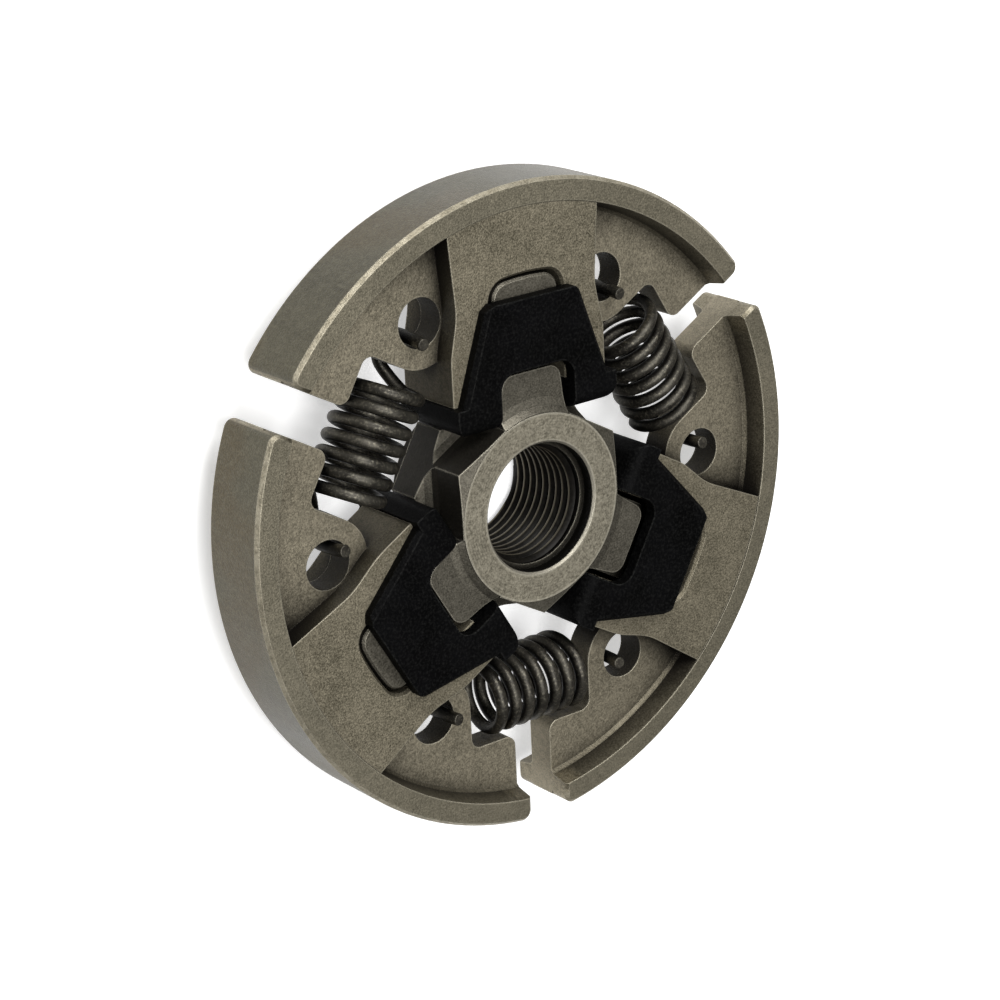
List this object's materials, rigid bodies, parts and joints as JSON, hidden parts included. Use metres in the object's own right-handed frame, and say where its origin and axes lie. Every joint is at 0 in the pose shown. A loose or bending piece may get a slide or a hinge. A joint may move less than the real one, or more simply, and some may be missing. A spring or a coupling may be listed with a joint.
{
  "type": "centrifugal clutch",
  "caption": "Small centrifugal clutch: a threaded hex hub whose arms guide sliding weighted shoes, held in by hooked tension springs and plastic clips, for driving a drum by friction.",
  "frame": {"origin": "where the crankshaft axis meets the flat rear face of the hub", "axes": "+Z along the crankshaft axis with the hex side up, +Y toward the middle of the first shoe; the other shoes follow every 120 degrees counter-clockwise seen from the hex side"},
  "size_m": [0.0646, 0.0647, 0.0126],
  "materials": {
    "sintered_hub": "satin",
    "sintered_shoe": "satin",
    "black_plastic": "matte",
    "dark_spring_steel": "satin"
  },
  "bodies": {
    "carrier": {"carrier": "sintered_hub", "spring_1": "dark_spring_steel", "spring_2": "dark_spring_steel", "spring_3": "dark_spring_steel"},
    "shoe_1": {"shoe_1": "sintered_shoe", "retainer_1": "black_plastic"},
    "shoe_2": {"shoe_2": "sintered_shoe", "retainer_2": "black_plastic"},
    "shoe_3": {"shoe_3": "sintered_shoe", "retainer_3": "black_plastic"}
  },
  "joints": [
    {"name": "shoe_1_slide", "type": "slide", "parent": "carrier", "child": "shoe_1", "axis": [0, 1, 0], "range_m": [0, 0.0016], "stiffness_N_per_m": 16000, "springref_m": -0.0001, "deforming": ["spring_1", "spring_3"]},
    {"name": "shoe_2_slide", "type": "slide", "parent": "carrier", "child": "shoe_2", "axis": [-0.866, -0.5, 0], "range_m": [0, 0.0016], "stiffness_N_per_m": 16000, "springref_m": -0.0001, "deforming": ["spring_1", "spring_2"]},
    {"name": "shoe_3_slide", "type": "slide", "parent": "carrier", "child": "shoe_3", "axis": [0.866, -0.5, 0], "range_m": [0, 0.0016], "stiffness_N_per_m": 16000, "springref_m": -0.0001, "deforming": ["spring_2", "spring_3"]}
  ]
}
